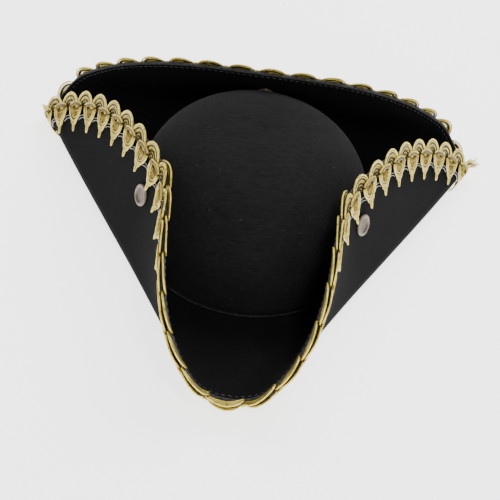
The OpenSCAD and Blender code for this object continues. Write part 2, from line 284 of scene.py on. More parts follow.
def lathe(name, profile, centre, axis, looks, look_of_row, sides=72):
    """A round piece. profile is (radius, height) pairs in millimetres, along the axis from the back."""
    radius, height = np.array(profile).T
    turn = np.linspace(0, 2 * np.pi, sides, endpoint=False)
    across = unit(np.cross(axis, [0.3, 0.2, 1.0]))
    other = np.cross(axis, across)
    ring = np.cos(turn)[:, None] * across + np.sin(turn)[:, None] * other
    inner = radius[1:-1, None, None] * ring + height[1:-1, None, None] * axis
    points = np.concatenate([inner.reshape(-1, 3), [height[0] * axis, height[-1] * axis]]) + centre
    index = wrapped(np.arange(inner.shape[0] * sides).reshape(-1, sides), 1)
    quads = grid_quads(index.T)[:, ::-1]
    first, last = len(points) - 2, len(points) - 1
    bottom = np.stack([np.full(sides, first), index[0, 1:], index[0, :-1]], -1)
    top = np.stack([np.full(sides, last), index[-1, :-1], index[-1, 1:]], -1)
    rows = np.tile(np.array(look_of_row[1:-1]), sides)
    which = np.concatenate([np.full(sides, look_of_row[0]), rows, np.full(sides, look_of_row[-1])])
    return make_object(name, points, [bottom, quads, top], looks, look_of_face=which)


class Strands:
    """Gathers round strands into one mesh. Each batch is an array of paths with the same number of points."""

    def __init__(self, sides=6):
        self.turn = np.linspace(0, 2 * np.pi, sides, endpoint=False)
        self.sides = sides
        self.total = 0
        self.points, self.tones, self.quads, self.ends, self.quad_uvs = [], [], [], [], []

    def add(self, paths, up, radius, tone):
        """paths and up are (strands, points, 3) arrays in millimetres; radius and tone may vary."""
        count, length = paths.shape[:2]
        radius = np.broadcast_to(radius, (count, length))
        tone = np.broadcast_to(tone, (count, length))
        ahead = unit(np.gradient(paths, axis=1))
        side = unit(np.cross(ahead, up))
        up = np.cross(side, ahead)
        ring = np.cos(self.turn)[:, None] * side[:, :, None] + np.sin(self.turn)[:, None] * up[:, :, None]
        points = paths[:, :, None] + radius[..., None, None] * ring
        index = self.total + np.arange(count * length * self.sides).reshape(count, length, self.sides)
        closed = wrapped(index, 2)
        quads = [closed[:, :-1, :-1], closed[:, 1:, :-1], closed[:, 1:, 1:], closed[:, :-1, 1:]]
        travel = np.cumsum(np.linalg.norm(np.diff(paths, axis=1, prepend=paths[:, :1]), axis=-1), axis=1)
        u = np.broadcast_to(travel[..., None], closed.shape)
        v = np.broadcast_to(np.arange(self.sides + 1) / self.sides, closed.shape)
        corner = np.stack([u, v], -1)
        corners = [corner[:, :-1, :-1], corner[:, 1:, :-1], corner[:, 1:, 1:], corner[:, :-1, 1:]]
        self.points.append(points.reshape(-1, 3))
        self.tones.append(np.repeat(tone.reshape(-1), self.sides))
        self.quads.append(np.stack(quads, -1).reshape(-1, 4))
        self.quad_uvs.append(np.stack(corners, -2).reshape(-1, 2))
        self.ends.append(np.concatenate([index[:, 0], index[:, -1, ::-1]]))
        self.total += points.reshape(-1, 3).shape[0]

    def build(self, name, look):
        """The object with every strand added so far."""
        ends = np.concatenate(self.ends)
        uvs = np.concatenate([*self.quad_uvs, np.zeros((ends.size, 2))])
        faces = [np.concatenate(self.quads), ends]
        return make_object(name, np.concatenate(self.points), faces, [look], uvs=uvs,
                           tones=np.concatenate(self.tones))


print("mesh tools ready")

# %% [markdown]
# ## Writing materials as sums
#
# A material is a network of nodes, which is slow to read once it is wired. Here a `Signal` is one socket,
# and adding or multiplying signals adds the Math nodes behind them, so that a material reads like a
# formula. `Look.node` makes any other node from its type, its settings and its input values.

# %% Material tools


class Signal:
    """One socket of a material; arithmetic on it makes Math nodes."""

    def __init__(self, look, socket):
        self.look = look
        self.socket = socket

    def math(self, operation, *others):
        return self.look.node("ShaderNodeMath", {"operation": operation}, [self, *others])

    def flipped(self, operation, other):
        return self.look.node("ShaderNodeMath", {"operation": operation}, [other, self])

    def __add__(self, other):
        return self.math("ADD", other)

    def __radd__(self, other):
        return self.flipped("ADD", other)

    def __sub__(self, other):
        return self.math("SUBTRACT", other)

    def __rsub__(self, other):
        return self.flipped("SUBTRACT", other)

    def __mul__(self, other):
        return self.math("MULTIPLY", other)

    def __rmul__(self, other):
        return self.flipped("MULTIPLY", other)

    def __truediv__(self, other):
        return self.math("DIVIDE", other)

    def __rtruediv__(self, other):
        return self.flipped("DIVIDE", other)

    def sine(self):
        return self.math("SINE")

    def clamped(self):
        return self.look.node("ShaderNodeClamp", {}, {"Value": self})

    def between(self, low, high):
        """0 below low, 1 above high, smooth between them."""
        return self.look.node("ShaderNodeMapRange", {"interpolation_type": "SMOOTHSTEP"},
                              {"Value": self, "From Min": low, "From Max": high})


class Look:
    """A material under construction."""

    def __init__(self, name):
        self.material = bpy.data.materials.new(name)
        self.material.use_nodes = True
        self.tree = self.material.node_tree
        self.tree.nodes.clear()

    def node(self, kind, settings, values, output=0):
        """Makes a node. values are its inputs by name or place, as numbers, colours or signals."""
        made = self.tree.nodes.new(kind)
        for name, setting in settings.items():
            setattr(made, name, setting)
        for place, value in (values.items() if isinstance(values, dict) else enumerate(values)):
            if isinstance(value, Signal):
                self.tree.links.new(value.socket, made.inputs[place])
            else:
                made.inputs[place].default_value = value
        return Signal(self, made.outputs[output])

    def place(self, name="Object", stretch=(1, 1, 1)):
        """Place in metres: Object for the hat's own frame, UV for lengths along the cloth."""
        kind = {"Object": "ShaderNodeTexCoord", "UV": "ShaderNodeUVMap"}[name]
        where = self.node(kind, {}, {}, output=name)
        return self.node("ShaderNodeMapping", {}, {"Vector": where, "Scale": stretch})

    def parts(self, vector):
        """The x, y and z of a place."""
        return [self.node("ShaderNodeSeparateXYZ", {}, [vector], output=i) for i in range(3)]

    def noise(self, where, scale, detail=3, roughness=0.55):
        values = {"Vector": where, "Scale": scale, "Detail": detail, "Roughness": roughness}
        return self.node("ShaderNodeTexNoise", {}, values)

    def tone(self):
        return self.node("ShaderNodeAttribute", {"attribute_name": "tone"}, {}, output="Fac")

    def mix(self, factor, first, second):
        """A colour between two others."""
        return self.node("ShaderNodeMix", {"data_type": "RGBA"}, {0: factor, 6: first, 7: second}, output=2)

    def bump(self, height, distance, strength):
        return self.node("ShaderNodeBump", {}, {"Height": height, "Distance": distance, "Strength": strength})

    def finish(self, **values):
        """Closes the material with one Principled shader. An underscore in a name stands for a space."""
        named = {name.replace("_", " "): value for name, value in values.items()}
        shader = self.node("ShaderNodeBsdfPrincipled", {}, named)
        output = self.tree.nodes.new("ShaderNodeOutputMaterial")
        self.tree.links.new(shader.socket, output.inputs["Surface"])
        return self.material


def grey(level):
    return (level, level, level, 1)


print("material tools ready")

# %% [markdown]
# ## Felt
#
# The hat is brushed black felt: nearly black, with soft mottling, short fibres in relief and a faint pale
# sheen at grazing light. Hair strands would show the fibres one by one, but from a normal distance only
# their grain is seen, so noise at two scales does the work. On the crown the fibres are combed sideways in
# fine streaks.

# %% Felt materials


def felt_look(name, coordinates, stretch, dark, light, fuzz, gloss):
    """Felt whose fibres run along the direction that stretch leaves long."""
    look = Look(name)
    where = look.place(coordinates, (1, 1, 1))
    combed = look.place(coordinates, stretch)
    patches = look.noise(where, 28, 3)
    streaks = look.noise(combed, 900, 4, 0.7)
    fibres = look.noise(where, 1500, 3, 0.6)
    shade = (patches * 0.5 + streaks * 1.5 + fibres * 0.4 - 0.7).clamped()
    lint = look.noise(where, 420, 2, 0.4).between(0.72, 0.80)
    colour = look.mix(shade, dark, light)
    colour = look.mix(lint * 0.35, colour, grey(0.10))
    relief = look.bump(streaks + fibres * 0.8, 0.0004, 0.55)
    return look.finish(Base_Color=colour, Roughness=0.88, Normal=relief, Specular_IOR_Level=gloss,
                       Sheen_Weight=fuzz, Sheen_Roughness=0.45, Sheen_Tint=(0.8, 0.8, 0.82, 1))


# Brim and crown are one felt; the brim's colours are painted darker as shade on the flaps, which the glowing
# floor lights.
shaded_brim_felt = felt_look("shaded_brim_felt", "UV", (0.5, 1.2, 1), (0.003, 0.003, 0.0032, 1), (0.0125, 0.0125, 0.013, 1),
                      0.02, 0.03)
crown_felt = felt_look("crown_felt", "Object", (0.12, 0.6, 1.1), (0.005, 0.005, 0.0052, 1),
                       (0.020, 0.020, 0.0205, 1), 0.05, 0.08)


def cut_edge_look():
    """The cut edge of the felt, greyer than its faces, with fibres standing out."""
    look = Look("cut_edge")
    where = look.place("Object")
    fibres = look.noise(where, 900, 3)
    colour = look.mix(fibres.between(0.35, 0.7), grey(0.012), grey(0.07))
    return look.finish(Base_Color=colour, Roughness=0.9, Normal=look.bump(fibres, 0.0004, 0.7),
                       Sheen_Weight=0.2, Sheen_Roughness=0.5)


cut_edge = cut_edge_look()
print("felt materials", shaded_brim_felt.name, crown_felt.name, cut_edge.name)

# %% [markdown]
# ## Braid, thread, metal and lining
#
# The braid's cords are twisted from metallic yarn. Modelling every yarn would cost millions of faces, so
# each strand is a smooth tube and its twist is a slanted wave in relief, also painted into the colour as
# light on the crests and shade in the grooves. Each strand has its own tone, from dark olive at 0 to pale
# gold at 1. The caps are dull plated metal, and the lining is a thin plain weave.

# %% Braid, thread, metal and lining materials


def cord_look(name, dark, middle, pale, twist, metal):
    """Twisted yarn in relief, with light and shade painted along its twist. twist is the length of one turn
    in millimetres of cord.
    """
    look = Look(name)
    along, around, _ = look.parts(look.place("UV"))
    twist_relief_and_painted_shade = ((along / twist + around * 2) * (2 * np.pi)).sine() * 0.5 + 0.5
    wear = look.noise(look.place("Object"), 380, 3)
    # The twist wave in the colour is painted light and shade: paler on the crests, darker in the grooves.
    level = (look.tone() * (wear * 0.9 + twist_relief_and_painted_shade * 0.5 + 0.18)).clamped()
    lower = look.mix(level.between(0.0, 0.5), dark, middle)
    colour = look.mix(level.between(0.5, 1.0), lower, pale)
    fibres = look.noise(look.place("Object"), 2600, 2)
    relief = look.bump(twist_relief_and_painted_shade * 0.8 + fibres * 0.35, 0.0003, 0.7)
    return look.finish(Base_Color=colour, Roughness=0.20 + wear * 0.2, Metallic=metal, Normal=relief)


gold = cord_look("gold_cord", (0.016, 0.010, 0.001, 1), (0.32, 0.20, 0.006, 1), (1.0, 0.83, 0.20, 1),
                 twist=1.3, metal=0.8)
silver = cord_look("silver_cord", (0.20, 0.20, 0.23, 1), (0.45, 0.44, 0.50, 1), (0.80, 0.79, 0.86, 1),
                   twist=0.8, metal=0.55)
grey_thread = cord_look("grey_thread", (0.05, 0.05, 0.055, 1), (0.18, 0.18, 0.19, 1), (0.5, 0.5, 0.52, 1),
                        twist=0.8, metal=0.1)
black_thread = cord_look("black_thread", grey(0.006), grey(0.02), grey(0.05), twist=0.8, metal=0.0)


def metal_look(name, colour, worn, roughness, metal):
    """Plated metal with cloudy wear and fine scratches."""
    look = Look(name)
    where = look.place("Object")
    cloud = look.noise(where, 220, 4)
    scratches = look.noise(look.place("Object", (0.2, 1, 1)), 2500, 2)
    shade = look.mix(cloud.between(0.35, 0.7), colour, worn)
    return look.finish(Base_Color=shade, Roughness=roughness + scratches * 0.18, Metallic=metal,
                       Normal=look.bump(cloud + scratches * 0.2, 0.00012, 0.4))


# Rim and face are one plated metal; the dished face is painted darker than the rim, as shade in the dish.
cap_rim = metal_look("cap_rim", (0.26, 0.21, 0.165, 1), (0.17, 0.135, 0.10, 1), 0.42, 0.5)
cap_dish_painted_shade = metal_look("cap_dish_painted_shade", (0.15, 0.115, 0.088, 1), (0.10, 0.075, 0.057, 1), 0.45, 0.5)
brass = metal_look("snap_metal", (0.36, 0.32, 0.26, 1), (0.22, 0.18, 0.13, 1), 0.35, 0.9)


def ribbed_look(name, colour, ribs_per_metre, coordinates="UV"):
    """Woven ribbon or satin, with ribs across its length."""
    look = Look(name)
    along, across, _ = look.parts(look.place(coordinates))
    ribs = (along * (2 * np.pi * ribs_per_metre)).sine() * 0.5 + 0.5
    mottle = look.noise(look.place(coordinates), 300, 3)
    darker = tuple(0.4 * c for c in colour[:3]) + (1,)
    shade = look.mix((ribs * 0.6 + mottle * 0.5).clamped(), darker, colour)
    return look.finish(Base_Color=shade, Roughness=0.6, Normal=look.bump(ribs, 0.0002, 0.6), Sheen_Weight=0.2,
                       Sheen_Roughness=0.4)


band_cloth = ribbed_look("band_cloth", (0.030, 0.026, 0.024, 1), 900)


def lining_look():
    """Thin woven lining: two crossing sets of threads and a faint gloss."""
    look = Look("lining_cloth")
    x, y, z = look.parts(look.place("Object"))
    weft = ((x + z) * (2 * np.pi * 1400)).sine() * 0.5 + 0.5
    warp = ((y - z) * (2 * np.pi * 1400)).sine() * 0.5 + 0.5
    weave = weft * warp
    shade = look.mix(weave, (0.010, 0.009, 0.010, 1), (0.035, 0.033, 0.036, 1))
    relief = look.bump(weave, 0.00015, 0.5)
    return look.finish(Base_Color=shade, Roughness=0.5, Normal=relief, Sheen_Weight=0.2, Sheen_Roughness=0.3)


lining_cloth = lining_look()
print("materials", len(bpy.data.materials))

# %% [markdown]
# ## Felt pieces of the brim
#
# The brim is one disc on the real hat, but its three sides open. It is built as three still thirds and six
# half flaps. A half flap that swung stiffly would tear off the corner; the half flaps here are built where
# they lie, with their place baked into their points, and are not attached to a body.

# %% Felt pieces of the brim
HALVES = {("left", -1): "left_front", ("left", 1): "left_back", ("right", -1): "right_front",
          ("right", 1): "right_back", ("back", -1): "back_right", ("back", 1): "back_left"}
# Width of the felt that belongs to a flap beyond the still brim at a corner.
CORNER_RIM = 6
EDGE_ROUND = 1.0
EDGE_STEPS = 7
HALF_COLUMNS = 84
FLAP_ROWS = 46
STILL_ROWS = 12


def inner_reach(flap, turned):
    """Distance from the centre to where the still felt ends, at an angle past the flap's middle."""
    hinge = (FOLD_START[flap] + HINGE_INSET) / np.cos(np.radians(turned))
    return np.minimum(hinge, edge_reach(FLAP_HEADING[flap] + turned) - CORNER_RIM)


def side_sign(flap, end):
    """+1 if headings grow towards that end of the flap, and -1 if they fall."""
    tangent = along_vector(flap) * end
    growing = heading_vector(FLAP_HEADING[flap] + 90)
    return 1 if tangent @ growing > 0 else -1


def rays(heading, start, stop, rows):
    """Points of the flat disc along headings, between two distances."""
    share = np.linspace(0, 1, rows)
    reach = start[:, None] + (stop - start)[:, None] * share
    return heading_vector(heading)[:, None] * reach[..., None]


def around_the_sheet(columns, edge_rounding):
    """Points and outward directions along one face of the felt, round its edge and back along the other."""
    middle, normal = felt_middle(columns), felt_normal(columns)
    outward = 0.2 * unit(columns[:, -1] - BRIM_CENTRE)
    rim = unit(felt_middle(columns[:, -1] + outward) - felt_middle(columns[:, -1] - outward))[:, None]
    turn = np.linspace(0, np.pi, EDGE_STEPS + 2)[1:-1, None]
    bulge = np.sin(turn) * rim
    arc = middle[:, -1:] + bulge * edge_rounding + FELT / 2 * np.cos(turn) * normal[:, -1:]
    points = np.concatenate([middle + FELT / 2 * normal, arc, (middle - FELT / 2 * normal)[:, ::-1]], 1)
    edge_direction = unit(bulge + np.cos(turn) * normal[:, -1:])
    directions = np.concatenate([normal, edge_direction, -normal[:, ::-1]], 1)
    flat = np.concatenate([columns, np.repeat(columns[:, -1:], len(turn), 1), columns[:, ::-1]], 1)
    return points, directions, flat


def felt_piece(name, columns, edge_rounding, edge_look):
    """A closed sheet of felt over columns of flat points that run from the inside out."""
    rows = columns.shape[1]
    points, directions, flat = around_the_sheet(columns, edge_rounding)
    index = np.arange(points.shape[0] * points.shape[1]).reshape(points.shape[:2])
    points, directions, flat = (array.reshape(-1, array.shape[-1]) for array in (points, directions, flat))
    skin = grid_quads(index)
    sides = [np.stack([index[:-1, -1], index[1:, -1], index[1:, 0], index[:-1, 0]], -1)]
    for column, order in ((index[0], 1), (index[-1], -1)):
        near, far = column[:rows], column[::-1][:rows]
        sides.append(np.stack([near[:-1], near[1:], far[1:], far[:-1]], -1)[:, ::order])
        sides.append(column[rows - 1:1 - rows][None, ::order])
    groups = [skin, *sides]
    facing = np.einsum("ij,ij->i", face_directions(points, skin), directions[skin[:, 0]]).sum()
    if facing < 0:
        groups = [group[:, ::-1] for group in groups]
    row = groups[0] % index.shape[1]
    on_edge = ((row >= rows - 1) & (row <= index.shape[1] - rows)).all(1)
    which = np.concatenate([on_edge, np.zeros(sum(len(group) for group in sides))])
    corner_normals = [directions[groups[0].reshape(-1)]]
    corner_normals += [np.repeat(face_directions(points, group), group.shape[1], 0) for group in groups[1:]]
    corners = np.concatenate([group.reshape(-1) for group in groups])
    return make_object(name, points, groups, [shaded_brim_felt, edge_look], uvs=flat[corners] * MM,
                       normals=np.concatenate(corner_normals), look_of_face=which)


def face_directions(points, faces):
    """The direction that each face looks."""
    first, second, third = points[faces[:, 0]], points[faces[:, 1]], points[faces[:, 2]]
    return unit(np.cross(second - first, third - first))


def half_headings(flap, end):
    """Headings of a half flap's columns, from the flap's middle to its corner."""
    return FLAP_HEADING[flap] + side_sign(flap, end) * np.linspace(0, 60, HALF_COLUMNS)


def flap_half(flap, end):
    """Half of a flap, from its fold to the brim's edge."""
    heading = half_headings(flap, end)
    inner = inner_reach(flap, heading - FLAP_HEADING[flap])
    columns = rays(heading, inner, edge_reach(heading, -EDGE_ROUND), FLAP_ROWS)
    return felt_piece("felt_" + HALVES[flap, end], columns, EDGE_ROUND, cut_edge)


def bend_with_flap(piece):
    """Bakes the piece's place into its points."""
    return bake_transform(piece)


def opening_reach(heading):
    """Distance from the centre to the head opening's edge."""
    inside = [CROWN_HALF_WIDTH - FELT, CROWN_HALF_LENGTH - FELT]
    return 1 / np.linalg.norm(heading_vector(heading) / inside, axis=-1)


def still_felt(flap):
    """The third of the brim that stays flat inside one flap's fold.

    Its outer edge is a round nose inside the flap's felt, so that no slit opens when the flap swings.
    """
    turned = np.linspace(-60, 60, 2 * HALF_COLUMNS - 1)
    heading = FLAP_HEADING[flap] + turned
    columns = rays(heading, opening_reach(heading), inner_reach(flap, turned), STILL_ROWS)
    return felt_piece("felt_by_" + flap, columns, FELT / 2, shaded_brim_felt)


still_pieces = {flap: still_felt(flap) for flap in FLAP_HEADING}
for piece in still_pieces.values():
    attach(piece, "root")
    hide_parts("brim_base")
for (flap, end), half in HALVES.items():
    piece = flap_half(flap, end)
    bend_with_flap(piece)
    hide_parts(flap + "_flap", "brim_base")

# %% [markdown]
# ## Crown, lining and sweatband
#
# The crown is blocked over a wooden form, so it is a smooth dome with a full, rounded shoulder. A scaled
# sphere would be too pointed there, and the formula of a fuller dome gives the shoulder with one number.
# The lining follows its inside above the sweatband, and the sweatband is an oval ribbon that leans in a
# little.

# %% Crown, lining and sweatband


def dome_rows(inset, foot, turns, rows):
    """Points of a dome with the crown's shape, from the foot up, without the very top."""
    width, length, height = CROWN_HALF_WIDTH - inset, CROWN_HALF_LENGTH - inset, CROWN_HEIGHT - inset
    climb = np.linspace(0, np.pi / 2, rows + 1)[:-1]
    level = np.maximum(height * np.sin(climb) ** (2 / CROWN_FULLNESS), foot)
    share = (1 - (level / height) ** CROWN_FULLNESS) ** (1 / CROWN_FULLNESS)
    turn = np.linspace(0, 2 * np.pi, turns, endpoint=False)
    x = width * share[:, None] * np.sin(turn)
    y = -length * share[:, None] * np.cos(turn)
    return np.stack([x, y, np.repeat(level[:, None] + CROWN_FOOT, turns, 1)], -1)


def dome(name, inset, wall, foot, look, turns=160, rows=64):
    """An open shell with the crown's shape and a wall of that thickness."""
    outside = dome_rows(inset, foot, turns, rows)
    inside = dome_rows(inset + wall, foot, turns, rows)
    top_level = CROWN_HEIGHT - inset + CROWN_FOOT
    tops = np.array([[0, 0, top_level], [0, 0, top_level - wall]])
    points = np.concatenate([outside.reshape(-1, 3), inside.reshape(-1, 3), tops])
    index = np.arange(turns * rows).reshape(rows, turns)
    faces, caps = [], []
    for layer, order in ((0, -1), (1, 1)):
        closed = wrapped(index + layer * index.size, 1)
        faces.append(grid_quads(closed)[:, ::order])
        top = np.full(turns, 2 * index.size + layer)
        caps.append(np.stack([closed[-1, :-1], closed[-1, 1:], top], -1)[:, ::-order])
    bottom = wrapped(index[:1], 1)[0]
    faces.append(np.stack([bottom[:-1], bottom[:-1] + index.size, bottom[1:] + index.size, bottom[1:]], -1))
    return make_object(name, points, [*faces, *caps], [look])


def band(name, width, length, wall, low, high, drawn_in, look, turns=180):
    """A closed oval ring that stands between two levels and leans in by drawn_in."""
    rows = 24
    outer = [(drawn_in * t, low + (high - low) * t) for t in np.linspace(0, 1, rows)]
    profile = outer + [(inset + wall, level) for inset, level in reversed(outer)]
    turn = np.linspace(0, 2 * np.pi, turns, endpoint=False)
    ovals = [[(width - inset) * np.sin(turn), -(length - inset) * np.cos(turn), np.full(turns, level)]
             for inset, level in profile]
    points = np.array(ovals).transpose(0, 2, 1)
    index = np.arange(points.shape[0] * turns).reshape(-1, turns)
    closed = wrapped(wrapped(index, 0), 1)
    quads = grid_quads(closed)[:, ::-1]
    place = np.broadcast_to(turn[None] * width * MM, index.shape)
    uv = np.stack([place, points[..., 2] * MM], -1).reshape(-1, 2)
    return make_object(name, points.reshape(-1, 3), [quads], [look], uvs=uv[quads.reshape(-1)])


def oval(width, length, level, turns):
    """Points round an oval, and their outward directions."""
    turn = np.asarray(turns)
    points = np.stack([width * np.sin(turn), -length * np.cos(turn), np.broadcast_to(level, turn.shape)], -1)
    outward = unit(np.stack([np.sin(turn) / width, -np.cos(turn) / length, 0 * turn], -1))
    return points, outward


crown = dome("crown_felt", 0, FELT, 0, crown_felt)
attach(crown, "root")
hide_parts("crown_shell")

LINING_WALL = 0.8
lining_low, lining_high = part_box("crown_lining")
lining_inset = CROWN_HEIGHT - (lining_high.z / MM - CROWN_FOOT)
lining = dome("lining", lining_inset, LINING_WALL, lining_low.z / MM - CROWN_FOOT, lining_cloth, 128, 48)
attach(lining, "root")
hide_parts("crown_lining")

band_low, band_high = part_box("sweatband")
BAND_WIDTH, BAND_LENGTH = band_high.x / MM, band_high.y / MM
BAND_WALL = 1.2
BAND_LEAN = 1.6
sweatband = band("sweatband_cloth", BAND_WIDTH, BAND_LENGTH, BAND_WALL, band_low.z / MM, band_high.z / MM,
                 BAND_LEAN, band_cloth)
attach(sweatband, "root")
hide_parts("sweatband")
print("crown", [round(x, 1) for x in (CROWN_HALF_WIDTH, CROWN_HALF_LENGTH, CROWN_HEIGHT)])

# %% [markdown]
# ## Seam cord and stitches on the crown
#
# On the real hat a felt cord covers the seam between crown and brim, and short stitches hold it down. The
# sweatband has two rows of stitches along its lower edge. A bumpy material could hint at stitches, but
# small arched strands catch the light from every side.

# %% Seam cord and stitches
welt_low, welt_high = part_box("crown_welt")
WELT_RADIUS = (welt_high.z - welt_low.z) / 2 / MM
WELT_WIDTH = welt_high.x / MM - WELT_RADIUS
WELT_LENGTH = welt_high.y / MM - WELT_RADIUS
WELT_LEVEL = (welt_high.z + welt_low.z) / 2 / MM
STITCHES_ROUND_CROWN = 120
STITCHES_ROUND_BAND = 150


def stitch_row(width, length, level, count, long, lift, across=0.0):
    """Short arched stitches round an oval. across tilts them, as a share of their length."""
    middle = np.linspace(0, 2 * np.pi, count, endpoint=False)
    share = np.linspace(-0.5, 0.5, 7)
    turns = middle[:, None] + share * long / width
    points, outward = oval(width, length, level, turns)
    points = points + outward * (lift * np.cos(share * np.pi))[:, None]
    points[..., 2] += share * long * across
    return points, outward


welt_turn = np.linspace(0, 2 * np.pi, 241)[None]
welt_path, welt_up = oval(WELT_WIDTH, WELT_LENGTH, WELT_LEVEL, welt_turn)
welt = Strands(10)
welt.add(welt_path, welt_up, WELT_RADIUS, 0.4)
welt_piece = welt.build("seam_cord", black_thread)
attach(welt_piece, "root")
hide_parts("crown_welt")

crown_stitches = Strands(5)
row = stitch_row(WELT_WIDTH + 0.3, WELT_LENGTH + 0.3, WELT_LEVEL + 0.5, STITCHES_ROUND_CROWN,
                 long=3.0, lift=0.5, across=0.25)
crown_stitches.add(*row, 0.24, 0.5)
crown_stitch_piece = crown_stitches.build("seam_stitches", black_thread)
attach(crown_stitch_piece, "root")

band_stitches = Strands(5)
for level in (2.6, 4.4):
    row = stitch_row(BAND_WIDTH - BAND_WALL, BAND_LENGTH - BAND_WALL, level, STITCHES_ROUND_BAND,
                     long=2.4, lift=-0.25)
    band_stitches.add(*row, 0.22, 0.6)
band_stitch_piece = band_stitches.build("sweatband_stitches", grey_thread)
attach(band_stitch_piece, "root")
print("stitches round the crown", STITCHES_ROUND_CROWN)

# %% [markdown]
# ## Braid motif
#
# The braid repeats one woven motif. Half rings of nested cords stand past the felt's edge. Between two of
# them a basket of nested U-shaped cords hangs inwards, with a ladder of fine threads, a second tier and a
# narrow tail loop. Every cord is its own strand, and dark cords under the bright ones give the depth of the
# weave. In this cell across is the distance along the edge, and outward the distance past it, both in
# millimetres.

# %% Cords of one motif
ARCH_CENTRE = -5.6
# Radius, thickness and tone of each half ring's cord, then the radii of the dark cords between them.
ARCHES = ((11.5, 0.66, 1.10), (10.2, 0.58, 0.90), (7.9, 0.55, 0.95), (6.8, 0.48, 0.70), (4.6, 0.50, 0.90),
          (2.2, 0.50, 0.70))
ARCH_SHADOWS = (9.1, 5.7, 3.4, 1.0)
# Half width, depth, level of the top and tone of each U-shaped cord; the dark ones need no tone.
BASKETS = ((9.4, 11.6, -5.2, 1.10), (8.2, 10.3, -5.4, 0.80), (6.2, 8.2, -5.8, 0.95))
TIERS = ((5.0, 5.4, -14.0, 1.00), (2.8, 3.4, -14.8, 0.90), (1.5, 5.6, -18.6, 1.10))
SHADOWS = ((7.1, 9.3, -5.5), (5.0, 7.2, -5.8), (4.0, 6.2, -6.0), (3.0, 5.2, -6.0), (2.0, 4.2, -6.2),
           (0.9, 3.2, -6.4), (2.4, 3.0, -14.6), (1.2, 2.0, -14.8))
# Level, half width and tone of the folded cords over a basket's top.
TOP_FOLDS = ((-4.4, 8.6, 0.80), (-5.6, 7.4, 0.22), (-6.6, 6.0, 0.30))
# How far past the edge each leaf's cord reaches in its middle and at its ends, and its tone.
LEAVES = ((6.4, 0.9, 1.15), (5.1, 0.3, 0.85), (3.9, -0.4, 1.05), (2.6, -1.0, 0.80), (1.2, -1.7, 1.10))
LEAF_SHADOWS = ((5.7, 0.6), (1.9, -1.3))
LEAVES_UP_TO = 56
OVERHANG_AT_SIDES = -0.6
OVERHANG_SWING = 2.0
LADDER_HALF_WIDTH = 4.5
LADDER_THREADS = 5
# Heights above the felt, and thicknesses of the cords.
LAID_LOW = 1.2
LAID_HIGH = 2.3
CORD = 0.50
THICK_CORD = 0.75
LEAF_CORD = 0.64
FINE_THREAD = 0.36
SILVER_THREAD = 0.34


def arch(radius):
    """Across and outward of a cord that runs a little more than half way round."""
    turn = np.radians(np.linspace(-22, 202, 30))
    return radius * np.cos(turn), ARCH_CENTRE + radius * np.sin(turn)


def basket(half_width, depth, top):
    """Across and outward of a U-shaped cord that hangs from its top level."""
    turn = np.linspace(0, np.pi, 20)
    return half_width * np.cos(turn) * (1 - 0.12 * np.sin(turn)), top - depth * np.sin(turn) ** 0.75


def ladder_thread(across):
    """A thread down the basket, longest in the middle."""
    share = np.linspace(0, 1, 7)
    low = -6 - 6.8 * np.sqrt(max(1 - (across / 5.8) ** 2, 0.05))
    return across * (1 - 0.15 * share), -6.4 + (low + 6.4) * share


def cross_thread(level, half_width):
    """The thread that binds the ladder, sagging in the middle."""
    share = np.linspace(-1, 1, 9)
    return half_width * share, level - 0.8 * (1 - share ** 2)


def leaf(peak, ends):
    """Cord of the leaf shape that shows past the edge from the felt's inner face."""
    share = np.linspace(-1, 1, 26)
    return 12.9 * share, ends + (peak - ends) * np.cos(share * np.pi / 2) ** 0.8


def top_fold(level, half_width):
    """Thick folded cord over the basket's top."""
    turn = np.radians(np.linspace(12, 168, 14))
    return half_width * np.cos(turn), level + 2.6 * np.sin(turn)


CORDS = sum(len(cords) for cords in (ARCHES, BASKETS, TIERS, TOP_FOLDS)) + LADDER_THREADS + 1
print("cords in a motif", CORDS)

# %% [markdown]
# ## Laying the braid
#
# The motif is laid on the folded felt once for each repeat, with a little random shift, as in real sewing.
# It could be one object copied along a path, but the path both curls and twists, so each cord's points go
# through the felt's formula instead. A motif belongs to the half flap that its middle lies on.

# %% Lay the braid


def half_at(angle):
    """The flap and the end that a point of the edge belongs to."""
    point = disc_point(np.array([angle]), np.array([0.0]))[0]
    flap = max(FLAP_HEADING, key=lambda name: point @ heading_vector(FLAP_HEADING[name]))
    return flap, 1 if point @ along_vector(flap) > 0 else -1


def turned_from_front(angle):
    """How far an angle about the disc's centre is from the front, either way round."""
    return abs((angle + 180) % 360 - 180)


def overhang(angles):
    """The braid was sewn on further out at the front than at the back."""
    return OVERHANG_AT_SIDES + OVERHANG_SWING * np.cos(np.radians(angles))


def lay(strands, angles, curve, height, radius, tone, jitter=0.12):
    """Adds one cord of the motif at each angle about the disc's centre."""
    if len(angles) == 0:
        return
    across, outward = curve
    outward = outward + overhang(np.asarray(angles))[:, None]
    shift = random.normal(0, jitter, (len(angles), 2, 1))
    turned = np.asarray(angles)[:, None] + np.degrees((across + shift[:, 0]) / BRIM_RADIUS)
    points, up = on_outer_face(turned, outward + shift[:, 1], np.broadcast_to(height, turned.shape))
    shade = tone + random.normal(0, 0.05, (len(angles), 1))
    strands.add(points, up, radius * random.uniform(0.94, 1.06, (len(angles), 1)), shade)


def lay_arches(strands, angles):
    """Half rings past the felt's edge, each a little lower than the one round it."""
    for radius in ARCH_SHADOWS:
        lay(strands, angles, arch(radius), 1.1, THICK_CORD, 0.0)
    for i, (radius, thick, tone) in enumerate(ARCHES):
        lay(strands, angles, arch(radius), 1.3 - 0.1 * i, thick, tone)


def lay_leaves(strands, angles):
    """Each leaf starts under its neighbour at one end and lies over the next one at the other."""
    lean = np.linspace(-1, 1, 26)
    for peak, ends in LEAF_SHADOWS:
        lay(strands, angles, leaf(peak, ends), -1.3 - 0.9 * lean, 0.60, 0.15)
    for peak, ends, tone in LEAVES:
        lay(strands, angles, leaf(peak, ends), -1.7 - 1.1 * lean, LEAF_CORD, tone)


